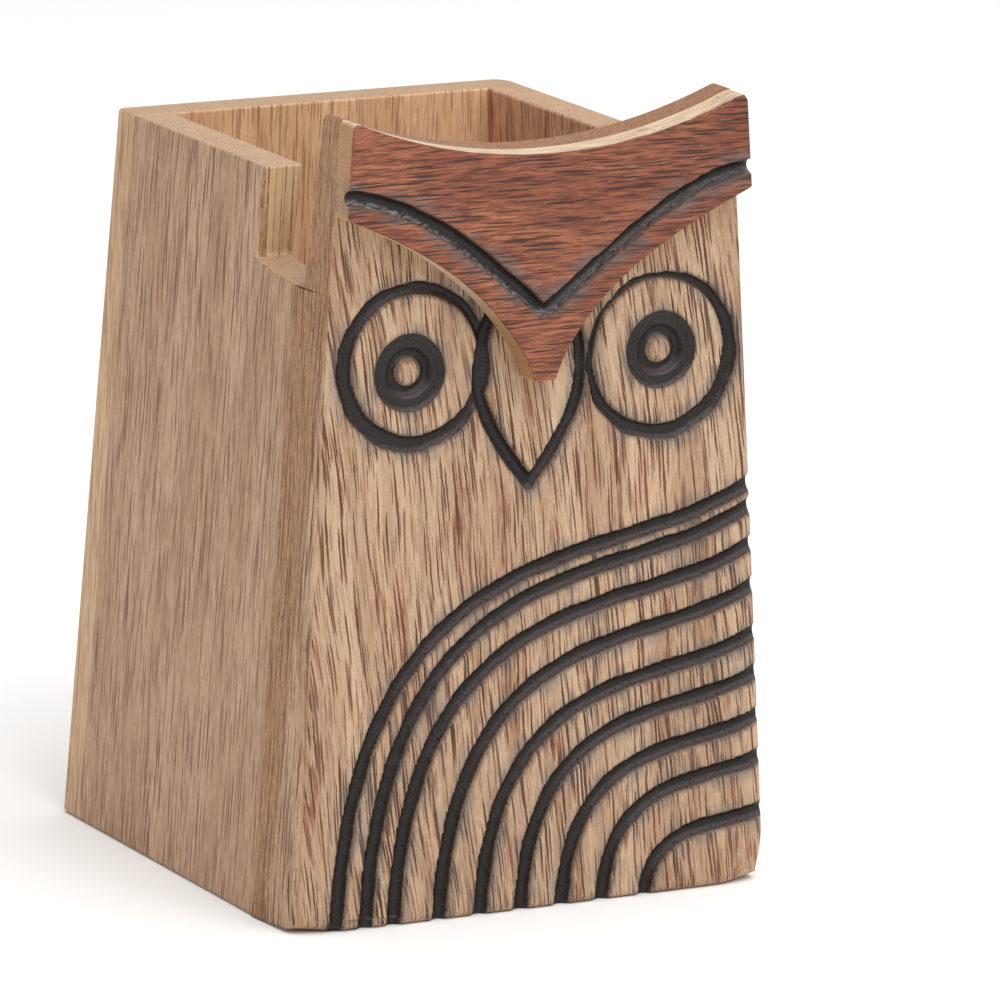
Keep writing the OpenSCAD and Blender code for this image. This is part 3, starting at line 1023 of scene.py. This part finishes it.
def browFinish(parts):
    # red-brown stain on the front face only, wiped thin and ragged over the eased edges
    tree, upright = parts["tree"], parts["upright"]
    stain = addNode(tree, "Attribute", {"attribute_name": "stain"}, "Fac")
    soak = grainNoise(tree, upright, 0.7, 3.0, 8.0, 3.0, 0.6)
    stain = addNode(tree, "MapRange", {
        0: addNode(tree, "Math", {
            "operation": "ADD", 0: stain,
            1: addNode(tree, "Math", {
                0: addNode(tree, "Math", {"operation": "SUBTRACT", 0: soak, 1: 0.5}), 1: 0.5,
            }),
        }),
        1: 0.55, 2: 0.7,
    })
    patch = grainNoise(tree, upright, 4.5, 16, 2.0, 3.0, 0.6)
    grainDark = grainNoise(tree, upright, 0.24, 3.4, 6.0, 5.0, 0.7)
    red = addNode(tree, "Mix", {
        0: addNode(tree, "MapRange", {0: parts["fibre"], 1: 0.34, 2: 0.66}), 6: "#ae6b4b", 7: "#8a4e34",
    })
    red = addNode(tree, "Mix", {
        0: addNode(tree, "MapRange", {0: patch, 1: 0.44, 2: 0.62, 4: 0.6}), 6: red, 7: "#7c3f2b",
    })
    # the right half of the board is darker
    place = addNode(tree, "SeparateXYZ", {0: addNode(tree, "TexCoord", {}, "Object")})
    red = addNode(tree, "Mix", {
        0: addNode(tree, "MapRange", {0: place, 1: -0.006, 2: 0.024, 3: 0.0, 4: 0.34}), 6: red,
        7: "#723a27",
    })
    red = addNode(tree, "Mix", {
        0: addNode(tree, "MapRange", {0: grainDark, 1: 0.47, 2: 0.6, 4: 0.8}), 6: red, 7: "#5a2e20",
    })
    red = addNode(tree, "Mix", {
        0: addNode(tree, "Math", {0: parts["streak"], 1: 0.6}), 6: red, 7: "#6b3726",
    })
    red = addNode(tree, "Mix", {
        0: addNode(tree, "Math", {0: parts["pore"], 1: 0.9}), 6: red, 7: "#341c15",
    })
    parts["colour"] = addNode(tree, "Mix", {0: stain, 6: parts["colour"], 7: red})
    # strong ash residue and painted sheen in the brow's cuts
    burnFinish(parts, 0.8)


# mango-like tropical hardwood, planed, sanded and thinly waxed: a dull sheen with open dark pores
faceLook = {
    "axis": (0.0, 0.0, 1.0), "side": (1.0, 0.0, 0.0), "pith": (-30.0, 60.0, 0.0),
    "turn": (0.0, radians(7.0), 0.0), "seed": 11.0, "wander": 7.0, "ringSpacing": 5.2,
    "fibre": 0.3, "streak": 0.5, "poreGap": 0.58, "poreLength": 19,
    "pale": "#cdb092", "mid": "#bd9b7a", "warm": "#a88467", "late": "#9e7658", "red": "#83462c",
    "dark": "#5a3320", "fleck": "#c9b299", "end": "#9a7455",
    "broadAmount": 0.5, "lateAmount": 0.35, "streakAmount": 0.5, "clusterAmount": 1.0,
    "poreAmount": 1.0, "fleckAmount": 0.4, "endAmount": 0.4, "speckle": 0.2,
    "rough": 0.6, "bump": 0.55, "coat": 0.04,
}
browLook = dict(
    faceLook, axis=(1.0, 0.0, 0.0), side=(0.0, 0.0, 1.0), pith=(0.0, 30.0, -40.0),
    turn=(0.0, radians(90.0), 0.0), seed=31.0, wander=3.0, ringSpacing=4.0, poreGap=0.5, poreLength=11,
    pale="#f0dcc0", mid="#e6cdac", warm="#dcbd98", late="#c9a37c", end="#ae7f4c",
    lateAmount=0.25, clusterAmount=0.2, poreAmount=0.5, endAmount=0.9, rough=0.52, bump=0.6, coat=0.1,
)
leftLook = dict(
    faceLook, pith=(70.0, 20.0, 0.0), turn=(0.0, radians(2.5), 0.0), seed=53.0, wander=4.0,
    ringSpacing=6.5, poreGap=0.62, poreLength=18,
    pale="#c9a98a", mid="#b8967a", warm="#ab8464", late="#9c7352", red="#8e5a3e", dark="#6f452d",
    end="#c9a987", lateAmount=0.25, streakAmount=0.4, clusterAmount=0.6, poreAmount=0.9,
    endAmount=0.5, bump=0.4,
)
rightLook = dict(
    leftLook, pith=(-80.0, 30.0, 0.0), turn=(0.0, radians(-2.0), 0.0), seed=71.0,
    pale="#cba686", mid="#b88f6f", warm="#a87b5b",
)
backLook = dict(
    leftLook, pith=(20.0, -70.0, 0.0), turn=(radians(1.5), 0.0, 0.0), seed=97.0, ringSpacing=7.5,
    pale="#d9b793", mid="#c8a27c", warm="#b68c66", end="#b39474",
    broadAmount=0.4, lateAmount=0.15, streakAmount=0.3, clusterAmount=0.35, poreAmount=0.6,
    endAmount=0.8, speckle=0.1,
)
floorLook = dict(
    leftLook, axis=(0.0, 1.0, 0.0), pith=(15.0, 0.0, 45.0), turn=(radians(90.0), 0.0, 0.0), seed=113.0,
)

faceWood = woodMaterial("sandedHardwoodBurntFace", faceLook, faceFinish)
browWood = woodMaterial("stainedHardwoodBrow", browLook, browFinish)
# the side and back boards carry painted light on their faces inside the well
leftWood = woodMaterial("sandedHardwoodLeft", leftLook, wallEndAndWellPaintedLight)
rightWood = woodMaterial("sandedHardwoodRight", rightLook, rightWellPaintedLight)
backWood = woodMaterial("sandedHardwoodBack", backLook, backWellPaintedLight)
floorWood = woodMaterial("sandedHardwoodFloor", floorLook)
print("mixed the woods")

makeFaceBoard()
makeBrowBoard()
makeSideWall("leftWall", -1, "left_wall", leftWood)
makeSideWall("rightWall", 1, "right_wall", rightWood)
makeBackBoard()
makeFloorBoard()

# table, light and camera

studio = {
    "floorSize": 8.0,
    "floorColour": "#fdfdfc",
    "worldStrength": 0.64,
    "yaw": radians(-28.0),
    "pitch": radians(13.0),
    "roll": radians(1.0),
    "distance": 1.4012,
    "lookAt": (0.0148, 0.0, 0.0539),
    "lens": 324.0,
    # name: place, aim, size, watts
    "lamps": {
        "overhead": ((0.15, -0.4, 1.6), (0, 0, 0.05), 1.8, 16.0),
        "frontSoft": ((0.1, -1.4, 1.4), (0, 0, 0.08), 1.2, 12.0),
    },
}


def aimed(place, target):
    back = (Vector(place) - Vector(target)).normalized()
    right = Vector((0, 0, 1)).cross(back).normalized()
    up = back.cross(right)
    turn = Matrix((right, up, back)).transposed().to_4x4()
    return Matrix.Translation(place) @ turn


def makeStudio():
    look = studio
    bm = bmesh.new()
    bmesh.ops.create_grid(bm, x_segments=8, y_segments=8, size=look["floorSize"] / 2)
    bmesh.ops.translate(bm, vec=(0, 0, cadBox[0][2] - 0.0001), verts=bm.verts[:])
    mesh = bpy.data.meshes.new("paleTable")
    bm.to_mesh(mesh)
    bm.free()
    table = bpy.data.objects.new("paleTable", mesh)
    bpy.context.collection.objects.link(table)
    paint = bpy.data.materials.new("paleMattPaint")
    paint.use_nodes = True
    shader = paint.node_tree.nodes["Principled BSDF"]
    shader.inputs["Base Color"].default_value = hexColour(look["floorColour"])
    shader.inputs["Roughness"].default_value = 0.9
    shader.inputs["Specular IOR Level"].default_value = 0.1
    mesh.materials.append(paint)

    world = bpy.data.worlds.new("paleRoom")
    world.use_nodes = True
    background = world.node_tree.nodes["Background"]
    background.inputs["Color"].default_value = (1, 1, 1, 1)
    background.inputs["Strength"].default_value = look["worldStrength"]
    bpy.context.scene.world = world
    for name, (place, target, size, watts) in look["lamps"].items():
        light = bpy.data.lights.new(name, "AREA")
        light.size = size
        light.energy = watts
        lamp = bpy.data.objects.new(name, light)
        lamp.matrix_world = aimed(place, target)
        bpy.context.collection.objects.link(lamp)

    yaw, pitch, roll = look["yaw"], look["pitch"], look["roll"]
    back = Vector((sin(yaw) * cos(pitch), -cos(yaw) * cos(pitch), sin(pitch)))
    level = Vector((cos(yaw), sin(yaw), 0))
    rise = back.cross(level)
    right = level * cos(roll) + rise * sin(roll)
    up = rise * cos(roll) - level * sin(roll)
    lens = bpy.data.cameras.new("camera")
    lens.sensor_width = 36.0
    lens.lens = look["lens"]
    lens.clip_start = 0.05
    lens.clip_end = 20.0
    camera = bpy.data.objects.new("camera", lens)
    place = Vector(look["lookAt"]) + back * look["distance"]
    camera.matrix_world = Matrix.Translation(place) @ Matrix((right, up, back)).transposed().to_4x4()
    bpy.context.collection.objects.link(camera)
    bpy.context.scene.camera = camera
    bpy.context.scene.view_settings.view_transform = "Standard"
    print("lit the table and set the camera")


makeStudio()
